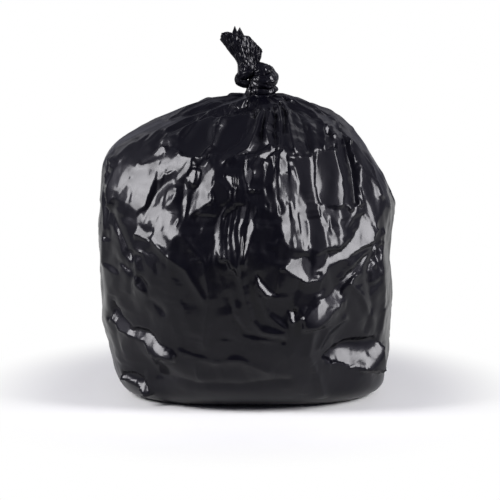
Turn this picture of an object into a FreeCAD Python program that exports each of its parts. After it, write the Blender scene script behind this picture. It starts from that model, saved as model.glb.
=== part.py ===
import FreeCAD
import Part
import math
import os
import random
from collections import namedtuple

# A filled refuse sack of thin glossy film, tied in its own neck: one closed shell.
# Lengths are in millimetres and angles in degrees. +X is the right of the front,
# -Y is the front and +Z is up. Angles go round the sack from +X, so the front is 270.

Section = namedtuple("Section", "height left right front back")
Lump = namedtuple("Lump", "angle height spread rise push")
Pleat = namedtuple("Pleat", "neck_angle end_angle length width depth")
Crease = namedtuple("Crease", "across height end_across end_height width push")
Fold = namedtuple("Fold", "angle height end_angle end_height width push")
Gather = namedtuple("Gather", "left left_rise right right_rise depth arch ruffle")

# The filled body, from the flat that it stands on to the gathered neck. Each row gives
# how far the film stands to the left, right, front and back of the middle.
FOOT = Section(0.0, 180.0, 198.0, 122.0, 138.0)
HEEL = Section(12.0, 197.0, 215.0, 152.0, 162.0)
ANKLE = Section(34.0, 208.0, 222.0, 176.0, 180.0)
SHIN = Section(82.0, 220.0, 231.0, 195.0, 192.0)
BELLY = Section(150.0, 232.0, 235.0, 205.0, 200.0)
WAIST = Section(225.0, 234.0, 230.0, 207.0, 202.0)
RIBS = Section(300.0, 229.0, 234.0, 204.0, 200.0)
CHEST = Section(345.0, 227.0, 218.0, 196.0, 194.0)
SHOULDER = Section(386.0, 215.0, 195.0, 174.0, 176.0)
BROW = Section(414.0, 181.0, 174.0, 146.0, 150.0)
TEMPLE = Section(434.0, 138.0, 150.0, 110.0, 118.0)
CROWN = Section(452.0, 94.0, 110.0, 76.0, 84.0)
COLLAR = Section(465.0, 46.0, 78.0, 46.0, 50.0)
NECK = Section(477.0, 0.0, 48.0, 24.0, 23.0)
BODY = (
    FOOT, HEEL, ANKLE, SHIN, BELLY, WAIST, RIBS, CHEST, SHOULDER, BROW, TEMPLE, CROWN,
    COLLAR, NECK,
)

SQUARENESS = 2.5
ROUND_NECK = 2.0
NECK_MIDDLE = (NECK.right - NECK.left) / 2

# Contents that press the film out, or leave it slack
LUMPS = (
    Lump(2, 440, 50, 18, 6),
    Lump(0, 306, 70, 20, 7),
    Lump(352, 20, 80, 30, 6),
    Lump(196, 380, 90, 40, 5),
    Lump(271, 224, 110, 110, 17),
    Lump(286, 116, 76, 80, 12),
    Lump(267, 408, 50, 30, 5),
    Lump(245, 250, 56, 50, 8),
    Lump(262, 360, 60, 60, 5),
    Lump(244, 346, 110, 66, -16),
    Lump(286, 322, 60, 70, -8),
    Lump(312, 318, 96, 94, -20),
    Lump(226, 146, 76, 50, -17),
    Lump(231, 58, 70, 46, -22),
    Lump(245, 78, 46, 34, 7),
    Lump(307, 106, 84, 70, -13),
    Lump(140, 350, 110, 70, 12),
    Lump(92, 300, 120, 90, 12),
    Lump(46, 372, 90, 50, 12),
    Lump(64, 160, 120, 80, 9),
    Lump(120, 110, 110, 70, 8),
    Lump(100, 214, 80, 44, -9),
    Lump(30, 250, 80, 60, -7),
    Lump(158, 196, 90, 60, 7),
)

# Pleats that run down from the neck, where the film has too much width
PLEATS = (
    Pleat(8, 4, 250, 46, 9),
    Pleat(30, 34, 190, 40, 10),
    Pleat(52, 44, 300, 52, 12),
    Pleat(74, 78, 170, 38, 9),
    Pleat(96, 90, 260, 48, 11),
    Pleat(118, 124, 200, 44, 10),
    Pleat(140, 136, 300, 50, 12),
    Pleat(160, 164, 170, 38, 9),
    Pleat(182, 176, 240, 44, 10),
    Pleat(198, 206, 230, 40, 9),
    Pleat(218, 212, 290, 56, 11),
    Pleat(238, 236, 200, 40, 10),
    Pleat(256, 262, 330, 48, 10),
    Pleat(276, 276, 250, 36, 10),
    Pleat(292, 296, 330, 44, 10),
    Pleat(312, 310, 200, 46, 11),
    Pleat(332, 322, 300, 54, 10),
    Pleat(350, 346, 180, 40, 9),
)

# Creases of the front, as the distance to the right and the height of their two ends;
# a negative push is a valley
CREASES = (
    Crease(-200, 366, -128, 392, 30, 8),
    Crease(-128, 392, -82, 378, 26, 8),
    Crease(-142, 350, -152, 306, 24, -8),
    Crease(-92, 362, -142, 306, 26, 9),
    Crease(-52, 366, -52, 316, 22, 8),
    Crease(-52, 316, -88, 292, 24, -8),
    Crease(-32, 420, -74, 378, 22, -7),
    Crease(-10, 315, -14, 206, 28, 9),
    Crease(24, 306, 4, 210, 22, -7),
    Crease(56, 396, 62, 248, 24, 9),
    Crease(80, 338, 90, 238, 24, 9),
    Crease(96, 388, 110, 314, 18, 7),
    Crease(110, 314, 142, 276, 20, -7),
    Crease(184, 300, 126, 232, 30, 9),
    Crease(188, 246, 138, 178, 26, 9),
    Crease(136, 176, 82, 126, 28, 9),
    Crease(156, 398, 162, 318, 26, -9),
    Crease(172, 346, 190, 274, 18, 7),
    Crease(116, 84, 202, 58, 26, 9),
    Crease(122, 104, 200, 108, 28, -7),
    Crease(-198, 164, -144, 102, 26, 9),
    Crease(-144, 102, -108, 80, 24, 8),
    Crease(-196, 62, -132, 20, 24, 9),
    Crease(-168, 62, -150, 30, 18, -7),
    Crease(52, 232, 92, 206, 26, 8),
    Crease(-4, 120, 40, 128, 26, -6),
    Crease(-170, 240, -120, 180, 30, 6),
)

# Creases of the sides and the back, by the angles and heights of their ends
FOLDS = (
    Fold(196, 330, 202, 220, 34, 8),
    Fold(188, 250, 196, 130, 34, -7),
    Fold(20, 330, 34, 190, 38, 9),
    Fold(6, 210, 24, 90, 36, 8),
    Fold(38, 190, 14, 110, 32, -8),
    Fold(58, 300, 44, 120, 40, -9),
    Fold(70, 350, 84, 250, 34, 9),
    Fold(84, 240, 108, 60, 44, 10),
    Fold(98, 320, 120, 240, 34, -8),
    Fold(126, 300, 112, 180, 36, 9),
    Fold(150, 250, 128, 80, 40, -9),
    Fold(140, 350, 158, 260, 36, 9),
    Fold(172, 180, 150, 40, 40, 9),
    Fold(66, 130, 44, 40, 34, 8),
)

# The knot and the loose end: the left and right ends of each gathered ring, as
# distances from the neck's middle and rises above the neck, and how deep the ring is
TIE = (
    Gather(-27, 7, 25, 6, 26, 0, 1.5),
    Gather(-34, 14, 26, 12, 29, 0, 2.0),
    Gather(-38, 20, 27, 18, 31, 0, 2.0),
    Gather(-36, 28, 25, 27, 30, 0, 2.0),
    Gather(-31, 36, 17, 37, 25, 0, 2.0),
    Gather(-30, 42, 4, 43, 18, 0, 1.5),
    Gather(-34, 51, -1, 49, 12, 0, 2.0),
    Gather(-41, 61, 1, 56, 13, 2, 3.0),
    Gather(-49, 72, 3, 60, 14, 5, 3.5),
    Gather(-57, 83, 3, 63, 14, 10, 4.0),
    Gather(-62, 90, 3, 64, 12, 16, 4.0),
)
KNOT_RINGS = 5
KNOT_FULLER_RIGHT = 0.35
RUFFLES = 11
RUFFLE_WANDER = 0.6
TAIL_RAGGEDNESS = 5.0
MOUTH_SINK = 12.0

# Small dents all over, as thin film has
DENT_COUNT = 90
DENT_SPREAD = 42.0
DENT_DEPTH = 3.2
DENT_SEED = 7

# How the pleats and creases fade out
PLEAT_START = 0.15
PLEAT_FULL_AT = 60.0
CREASE_FADE = 1.2
RIDGE_SHARPNESS = 1.5
BELL_STEEPNESS = 2.0
FOOT_STEP = 0.5

COLUMNS = 80
BODY_ROWS = 44
STEPS_A_SECTION = 40
NODE_FILE = "parts/tied_bin_bag.step"


def eased(t):
    """0 to 1 with flat ends."""
    t = min(max(t, 0.0), 1.0)
    return t * t * (3 - 2 * t)


def turned(angle, other):
    """The signed way from one angle to another, -180 to 180."""
    return (angle - other + 180) % 360 - 180


def through(rows, t):
    """A smooth curve through rows of numbers, at t rows from the first."""
    i = min(int(t), len(rows) - 2)
    before, start = rows[max(i - 1, 0)], rows[i]
    end, after = rows[i + 1], rows[min(i + 2, len(rows) - 1)]
    u = t - i
    curve = []
    for a, b, c, d in zip(before, start, end, after):
        bend = (2 * a - 5 * b + 4 * c - d) * u + (3 * b - a - 3 * c + d) * u * u
        curve.append(b + 0.5 * u * ((c - a) + bend))
    return curve


def mean_radius(section):
    return (section.left + section.right + section.front + section.back) / 4


def body_sections():
    """Sections of the body at even steps of film, each with its distance from the neck."""
    steps = STEPS_A_SECTION * (len(BODY) - 1)
    fine = [Section(*through(BODY, k / STEPS_A_SECTION)) for k in range(steps + 1)]
    along = [0.0]
    for low, high in zip(fine, fine[1:]):
        run = math.hypot(mean_radius(high) - mean_radius(low), high.height - low.height)
        along.append(along[-1] + run)
    rows = []
    k = 0
    for row in range(BODY_ROWS + 1):
        target = along[-1] * row / BODY_ROWS
        while k < steps - 1 and along[k + 1] < target:
            k += 1
        share = (target - along[k]) / (along[k + 1] - along[k])
        mixed = [a + (b - a) * share for a, b in zip(fine[k], fine[k + 1])]
        rows.append((Section(*mixed), along[-1] - target))
    return rows


def bell(round_way, up_way):
    return math.exp(-BELL_STEEPNESS * (round_way ** 2 + up_way ** 2))


def lump_push(lumps, angle, height, radius):
    push = 0.0
    for lump in lumps:
        up_way = (height - lump.height) / lump.rise
        round_way = math.radians(turned(angle, lump.angle)) * radius / lump.spread
        push += lump.push * bell(round_way, up_way)
    return push


def ridge(distance, half_width):
    """A ridge with a sharp top and soft feet."""
    reach = min(abs(distance) / half_width, 1.0)
    return (1 - reach) ** RIDGE_SHARPNESS


def ridge_along(across, up, run, rise, width):
    """How much of a ridge from (0, 0) to (run, rise) is left at a point."""
    length = math.hypot(run, rise)
    along = (across * run + up * rise) / length
    aside = (across * rise - up * run) / length
    if not -width < along < length + width:
        return 0.0
    from_middle = abs(along / length - 0.5) * 2
    return (1 - eased(from_middle / CREASE_FADE)) * ridge(aside, width)


def pleat_push(angle, from_neck, radius):
    push = 0.0
    spacing = 2 * math.pi * radius / len(PLEATS)
    for pleat in PLEATS:
        along = from_neck / pleat.length
        if along >= 1:
            continue
        turn = turned(pleat.end_angle, pleat.neck_angle) * eased(along)
        across = math.radians(turned(angle, pleat.neck_angle + turn)) * radius
        half_width = min(pleat.width, spacing)
        strength = min(from_neck / PLEAT_FULL_AT + PLEAT_START, 1.0) * (1 - eased(along))
        push += pleat.depth * strength * ridge(across, half_width)
    return push


def fold_push(angle, height, radius):
    push = 0.0
    for fold in FOLDS:
        run = math.radians(turned(fold.end_angle, fold.angle)) * radius
        across = math.radians(turned(angle, fold.angle)) * radius
        rise, up = fold.end_height - fold.height, height - fold.height
        push += fold.push * ridge_along(across, up, run, rise, fold.width)
    return push


def crease_push(across, height):
    push = 0.0
    for crease in CREASES:
        run, rise = crease.end_across - crease.across, crease.end_height - crease.height
        x, z = across - crease.across, height - crease.height
        push += crease.push * ridge_along(x, z, run, rise, crease.width)
    return push


def dents():
    """Scattered shallow dents and swells, the same ones each time."""
    dice = random.Random(DENT_SEED)
    found = []
    for _ in range(DENT_COUNT):
        angle = dice.uniform(0, 360)
        height = dice.uniform(FOOT.height + DENT_SPREAD, BROW.height)
        push = dice.uniform(-DENT_DEPTH, DENT_DEPTH)
        found.append(Lump(angle, height, DENT_SPREAD, DENT_SPREAD, push))
    return found


def outline_point(angle, section, squareness):
    """A point of a rounded-square outline, before the film is pushed about."""
    c, s = math.cos(math.radians(angle)), math.sin(math.radians(angle))
    middle, half_width = (section.right - section.left) / 2, (section.right + section.left) / 2
    half_depth = section.back if s > 0 else section.front
    x = middle + math.copysign(abs(c) ** (2 / squareness), c) * half_width
    y = math.copysign(abs(s) ** (2 / squareness), s) * half_depth
    return x, y


def body_rings():
    """Rings of points, from the edge of the flat foot to the neck."""
    rings = []
    sections = body_sections()
    marks = dents()
    for row, (section, from_neck) in enumerate(sections):
        below, above = sections[max(row - 1, 0)][0], sections[min(row + 1, BODY_ROWS)][0]
        out = above.height - below.height
        up = mean_radius(below) - mean_radius(above)
        slope = math.hypot(out, up)
        radius = mean_radius(section)
        height = section.height
        rise = eased((height - CHEST.height) / (NECK.height - CHEST.height))
        square = SQUARENESS + (ROUND_NECK - SQUARENESS) * rise
        off_floor = eased((height - FOOT.height) / (ANKLE.height - FOOT.height))
        off_neck = eased((NECK.height - height) / (NECK.height - CROWN.height))
        ring = []
        for column in range(COLUMNS):
            angle = 360.0 * column / COLUMNS
            x, y = outline_point(angle, section, square)
            push = pleat_push(angle, from_neck, radius)
            push += fold_push(angle, height, radius)
            push += lump_push(marks, angle, height, radius)
            push += crease_push(x, height) * eased(-y / FOOT.front)
            push = push * off_floor + lump_push(LUMPS, angle, height, radius) * off_neck
            c, s = math.cos(math.radians(angle)), math.sin(math.radians(angle))
            x += c * push * out / slope
            y += s * push * out / slope
            z = height + push * off_floor * up / slope
            ring.append(FreeCAD.Vector(x, y, z))
        rings.append(ring)
    flatten_foot(rings)
    return rings


def flatten_foot(rings):
    """The first ring lies on the floor, and nothing above it goes lower."""
    for point in rings[0]:
        point.z = FOOT.height
    for lower, ring in zip(rings, rings[1:4]):
        for low_point, point in zip(lower, ring):
            point.z = max(point.z, low_point.z + FOOT_STEP)


def tie_rings():
    """Rings of the knot, fuller on its right, and of the ruffled loose end above it."""
    rings = []
    for number, gather in enumerate(TIE):
        knot = number < KNOT_RINGS
        last = number == len(TIE) - 1
        middle = (gather.left + gather.right) / 2
        half_width = (gather.right - gather.left) / 2
        middle_rise = (gather.left_rise + gather.right_rise) / 2
        tilt = (gather.right_rise - gather.left_rise) / 2
        ring = []
        for column in range(COLUMNS):
            angle = 2 * math.pi * column / COLUMNS
            c, s = math.cos(angle), math.sin(angle)
            wave = RUFFLES * angle + RUFFLE_WANDER * math.sin(3 * angle)
            zigzag = 2 / math.pi * math.asin(math.sin(wave))
            depth = gather.depth * (1 + KNOT_FULLER_RIGHT * c) if knot else gather.depth
            x = middle + c * (half_width + gather.ruffle * zigzag)
            y = s * (depth + gather.ruffle * zigzag)
            z = middle_rise + tilt * c + gather.arch * s * s
            if last:
                z += TAIL_RAGGEDNESS * zigzag
            ring.append(FreeCAD.Vector(NECK_MIDDLE + x, y, NECK.height + z))
        rings.append(ring)
    return rings


def facets(rings):
    """Triangles between the rings, split along the shorter diagonal."""
    points = [point for ring in rings for point in ring]
    triangles = []
    for row in range(len(rings) - 1):
        for column in range(COLUMNS):
            after = (column + 1) % COLUMNS
            a, b = row * COLUMNS + column, row * COLUMNS + after
            d, c = a + COLUMNS, b + COLUMNS
            if points[a].distanceToPoint(points[c]) < points[b].distanceToPoint(points[d]):
                triangles += [(a, b, c), (a, c, d)]
            else:
                triangles += [(a, b, d), (b, c, d)]
    return points, triangles


def mouth(points, last_ring):
    """The gathered top of the loose end sinks in between its ruffles."""
    middle = FreeCAD.Vector()
    for point in last_ring:
        middle += point
    middle *= 1.0 / len(last_ring)
    middle.z -= MOUTH_SINK
    first = len(points) - COLUMNS
    points.append(middle)
    centre = len(points) - 1
    return [(first + k, first + (k + 1) % COLUMNS, centre) for k in range(COLUMNS)]


def centred(rings):
    """Moves the sack so that the middle of its outline stands over the origin."""
    xs = [point.x for ring in rings for point in ring]
    ys = [point.y for ring in rings for point in ring]
    shift = FreeCAD.Vector(-(min(xs) + max(xs)) / 2, -(min(ys) + max(ys)) / 2, 0)
    return [[point + shift for point in ring] for ring in rings]


def tied_bin_bag():
    rings = centred(body_rings() + tie_rings())
    points, triangles = facets(rings)
    triangles += mouth(points, rings[-1])
    faces = []
    for triangle in triangles:
        corners = [points[k] for k in triangle]
        faces.append(Part.Face(Part.makePolygon(corners + corners[:1])))
    foot = rings[0]
    faces.append(Part.Face(Part.makePolygon(foot + foot[:1])))
    shell = Part.makeShell(faces)
    shell.sewShape()
    shell = shell.Shells[0]
    solid = Part.makeSolid(shell)
    if solid.Volume < 0:
        solid.reverse()
    return solid


os.makedirs("parts", exist_ok=True)
bag = tied_bin_bag()
bag.exportStep(NODE_FILE)
box = bag.BoundBox
print("faces", len(bag.Faces), "closed", bag.isClosed(), "valid", bag.isValid())
print("litres %.1f" % (bag.Volume / 1e6))
print("size %.0f x %.0f x %.0f mm" % (box.XLength, box.YLength, box.ZLength))
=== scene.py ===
import math

import bmesh
import bpy
import numpy as np
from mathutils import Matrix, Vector
from mathutils.bvhtree import BVHTree
from mathutils.kdtree import KDTree


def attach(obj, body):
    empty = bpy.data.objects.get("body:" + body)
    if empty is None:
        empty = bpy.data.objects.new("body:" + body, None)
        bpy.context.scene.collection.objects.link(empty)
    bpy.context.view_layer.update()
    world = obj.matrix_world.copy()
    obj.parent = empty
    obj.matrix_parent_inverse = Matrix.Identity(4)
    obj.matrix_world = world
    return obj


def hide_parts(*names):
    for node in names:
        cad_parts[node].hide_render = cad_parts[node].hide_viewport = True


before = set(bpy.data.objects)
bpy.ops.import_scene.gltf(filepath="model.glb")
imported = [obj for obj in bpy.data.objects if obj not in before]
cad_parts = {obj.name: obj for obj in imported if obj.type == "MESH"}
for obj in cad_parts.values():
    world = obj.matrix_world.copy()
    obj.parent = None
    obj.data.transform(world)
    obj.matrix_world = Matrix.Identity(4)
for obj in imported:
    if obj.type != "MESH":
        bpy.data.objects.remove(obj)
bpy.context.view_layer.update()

# The camera. It looks a little down on the sack from the front, as the photograph does.
# It comes first because the folds of the film are placed where the photograph shows them.

PHOTO_SIZE = 500
CAMERA_RISE = math.radians(9)
CAMERA_DISTANCE = 3.0
CAMERA_LENS = 135
SENSOR_WIDTH = 36
LOOK_AT = Vector((0.0056, 0.0, 0.228))

bpy.ops.object.select_all(action="DESELECT")
to_camera = Vector((0, -math.cos(CAMERA_RISE), math.sin(CAMERA_RISE)))
bpy.ops.object.camera_add(location=LOOK_AT + to_camera * CAMERA_DISTANCE)
camera = bpy.context.object
camera.name = "camera"
camera.rotation_euler = (-to_camera).to_track_quat("-Z", "Y").to_euler()
camera.data.lens, camera.data.sensor_width = CAMERA_LENS, SENSOR_WIDTH
bpy.context.scene.camera = camera
bpy.context.scene.view_settings.view_transform = "Standard"

CAMERA_PLACE = np.array(LOOK_AT + to_camera * CAMERA_DISTANCE)
VIEW_BACK = np.array(to_camera)
VIEW_RIGHT = np.array((1.0, 0.0, 0.0))
VIEW_UP = np.cross(VIEW_BACK, VIEW_RIGHT)


def on_photo(points):
    """Where points of the sack are in the photograph, across and down from its top left."""
    away = points - CAMERA_PLACE
    pixels = CAMERA_LENS / SENSOR_WIDTH * PHOTO_SIZE / -(away @ VIEW_BACK)
    across = PHOTO_SIZE / 2 + pixels * (away @ VIEW_RIGHT)
    return np.stack([across, PHOTO_SIZE / 2 - pixels * (away @ VIEW_UP)], -1)


# The sack's film: one blown tube of thin black polythene, sealed across its bottom. It is
# filled with loose refuse, stands on its flattened foot, and its top is gathered to the
# knot. Its folds are kept by the contents that it hangs on.

NODE = "tied_bin_bag"
NECK_HEIGHT = 0.477
NECK_RADIUS = 0.022
NECK_BAND, NECK_GAP = 0.003, 0.001
SAME_POINT = 1e-5
HEART_HEIGHT = 0.24
FOOT_ROWS, ROWS, COLUMNS = 6, 300, 540
FOOT_LIFT, FOOT_INSET = 0.003, 0.97
COARSE, COARSE_SOFTENING = 3, 2
FRONT_FINER = 0.3
RAYS = 420

cad_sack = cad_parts[NODE]
merged = bmesh.new()
merged.from_mesh(cad_sack.data)
bmesh.ops.remove_doubles(merged, verts=merged.verts, dist=SAME_POINT)
cad_tree = BVHTree.FromBMesh(merged)
neck_ring = [v.co for v in merged.verts if abs(v.co.z - NECK_HEIGHT) < NECK_BAND]
NECK = np.array(sum(neck_ring, Vector()) / len(neck_ring))
merged.free()
HEART = Vector((NECK[0], NECK[1], HEART_HEIGHT))


def turn_of(column, columns):
    """Columns go round from the right, closer together over the front."""
    u = 2 * np.pi * column / columns
    return u - FRONT_FINER * np.sin(u - 1.5 * np.pi) - FRONT_FINER


def meridian(turn):
    """Points of the film from the middle of the foot up to the neck, along one column."""
    line = []
    for k in range(RAYS):
        rise = math.radians(-90 + 180 * k / (RAYS - 1))
        ray = Vector((math.cos(turn) * math.cos(rise), math.sin(turn) * math.cos(rise),
                      math.sin(rise)))
        hit = cad_tree.ray_cast(HEART, ray)[0]
        if hit is None:
            continue
        if hit.z > NECK_HEIGHT - NECK_GAP:
            break
        line.append(np.array(hit))
    line.append(NECK + NECK_RADIUS * np.array((math.cos(turn), math.sin(turn), 0)))
    return np.array(line)


def lengths_along(line):
    """How far along a line each of its points is."""
    steps = np.linalg.norm(np.diff(line, axis=0), axis=1)
    return np.concatenate([[0], np.cumsum(steps)])


def even_rows(line, rows):
    """The flat foot takes a few rows and the rest of the film even ones."""
    along = lengths_along(line)
    foot_edge = along[np.argmax(line[:, 2] > FOOT_LIFT)] * FOOT_INSET
    marks = np.concatenate([np.linspace(0, foot_edge, FOOT_ROWS + 1)[:-1],
                            np.linspace(foot_edge, along[-1], rows + 1 - FOOT_ROWS)])
    return np.stack([np.interp(marks, along, line[:, q]) for q in range(3)], 1)


def finer(grid, rows, columns):
    """A smooth finer copy of a grid whose columns close into a ring."""
    old_rows, old_columns = grid.shape[:2]
    j = np.linspace(0, old_rows - 1, rows)
    i = np.arange(columns) * old_columns / columns
    j0, i0 = np.minimum(j.astype(int), old_rows - 2), i.astype(int)
    fj, fi = (j - j0).reshape(-1, 1, 1), (i - i0).reshape(1, -1, 1)

    def curve(a, b, c, d, t):
        bend = 2 * a - 5 * b + 4 * c - d + t * (3 * (b - c) + d - a)
        return b + 0.5 * t * (c - a + t * bend)

    def along(row):
        around = [grid[row][:, (i0 + k) % old_columns] for k in (-1, 0, 1, 2)]
        return curve(*around, fi)

    near = [np.clip(j0 + k, 0, old_rows - 1) for k in (-1, 0, 1, 2)]
    return curve(*[along(row) for row in near], fj)


def softened(grid, times):
    """Each point moves towards its neighbours; the foot and the neck stay."""
    for _ in range(times):
        new = grid.copy()
        new[1:-1] = (2 * grid[1:-1] + grid[2:] + grid[:-2]) / 4
        new = (2 * new + np.roll(new, 1, 1) + np.roll(new, -1, 1)) / 4
        new[:FOOT_ROWS // 2], new[-1] = grid[:FOOT_ROWS // 2], grid[-1]
        grid = new
    return grid


def cross(a, b):
    """The direction square to two others, with the right-hand rule."""
    return np.stack([a[..., 1] * b[..., 2] - a[..., 2] * b[..., 1],
                     a[..., 2] * b[..., 0] - a[..., 0] * b[..., 2],
                     a[..., 0] * b[..., 1] - a[..., 1] * b[..., 0]], -1)


def unit(v):
    """The same direction with a length of one."""
    return v / (np.linalg.norm(v, axis=-1, keepdims=True) + 1e-12)


def facing(grid):
    """The way round, the way up and the way out at each point of the film."""
    around = unit(np.roll(grid, -1, 1) - np.roll(grid, 1, 1))
    up = np.zeros_like(grid)
    up[1:-1] = grid[2:] - grid[:-2]
    up[0], up[-1] = up[1], grid[-1] - grid[-2]
    out = unit(cross(around, up))
    return around, unit(up), out


coarse_columns = COLUMNS // COARSE
coarse = np.array([even_rows(meridian(turn_of(k, coarse_columns)), ROWS // COARSE)
                   for k in range(coarse_columns)]).transpose(1, 0, 2)
coarse = softened(coarse, COARSE_SOFTENING)
smooth_film = finer(coarse, ROWS + 1, COLUMNS)
smooth_film[..., 2] = np.maximum(smooth_film[..., 2], 0)
AROUND, UP, OUT = facing(smooth_film)
turns = turn_of(np.arange(COLUMNS), COLUMNS)
from_neck = np.linalg.norm(smooth_film - NECK, axis=-1)
height = smooth_film[..., 2]


def eased(t):
    """0 to 1, with a soft start and a soft end."""
    t = np.clip(t, 0, 1)
    return t * t * (3 - 2 * t)


def ramp(value, start, length):
    """0 up to the start, 1 from a length past it, and soft between."""
    return eased((value - start) / length)


# Where the soft lamps stand, seen from the sack, as a turn to the right of the front, a
# rise, a width and a height. A facet that faces halfway between a lamp and the camera
# shows that lamp. It aims well inside the lamp, and the film round it well past its edge.
LAMPS = {
    "l": (math.radians(-66), math.radians(30), 0.62, 1.0),
    "r": (math.radians(64), math.radians(26), 0.62, 1.0),
    "back_l": (math.radians(-142), math.radians(34), 0.7, 0.9),
    "back_r": (math.radians(142), math.radians(34), 0.7, 0.9),
}
LAMP_DISTANCE = 1.9
GLINT_SHARE, SHY_SHARE = 0.4, 1.6


def lamp_room(lamp, share):
    """The middle and half of the angles that a share of a lamp takes up."""
    turn, rise, width, tall = LAMPS[lamp]
    half_turn = share * math.atan(width / 2 / LAMP_DISTANCE)
    half_rise = share * math.atan(tall / 2 / LAMP_DISTANCE)
    return turn, rise, half_turn, half_rise


def mirrored(normals):
    """The way that the camera's sight line leaves the film, as its turn and rise."""
    sight = unit(CAMERA_PLACE - smooth_film)
    away = 2 * (normals * sight).sum(-1, keepdims=True) * normals - sight
    away = away + (smooth_film - np.array((0, 0, HEART_HEIGHT))) / LAMP_DISTANCE
    away = unit(away)
    return np.arctan2(away[..., 0], -away[..., 1]), np.arcsin(np.clip(away[..., 2], -1, 1))


def facing_for(turn, rise):
    """The way that the film has to face to show what is at a turn and rise."""
    level = np.cos(rise)
    way = np.stack([np.sin(turn) * level, -np.cos(turn) * level, np.sin(rise)], -1)
    spot = np.array((0, 0, HEART_HEIGHT)) + way * LAMP_DISTANCE
    return unit(unit(spot - smooth_film) + unit(CAMERA_PLACE - smooth_film))


def glint(lamp, normals):
    """The nearest way to face that shows the lamp."""
    middle_turn, middle_rise, wide, tall = lamp_room(lamp, GLINT_SHARE)
    turn, rise = mirrored(normals)
    return facing_for(np.clip(turn, middle_turn - wide, middle_turn + wide),
                      np.clip(rise, middle_rise - tall, middle_rise + tall))


def shy_of_lamps(normals):
    """The nearest way to face that shows no lamp."""
    for lamp in LAMPS:
        middle_turn, middle_rise, wide, tall = lamp_room(lamp, SHY_SHARE)
        turn, rise = mirrored(normals)
        off_turn, off_rise = turn - middle_turn, rise - middle_rise
        shown = (np.abs(off_turn) < wide) & (np.abs(off_rise) < tall)
        sideways = wide - np.abs(off_turn) < tall - np.abs(off_rise)
        new_turn = np.where(sideways, middle_turn + np.copysign(wide, off_turn), turn)
        new_rise = np.where(sideways, rise, middle_rise + np.copysign(tall, off_rise))
        normals = np.where(shown[..., None], facing_for(new_turn, new_rise), normals)
    return normals


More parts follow.
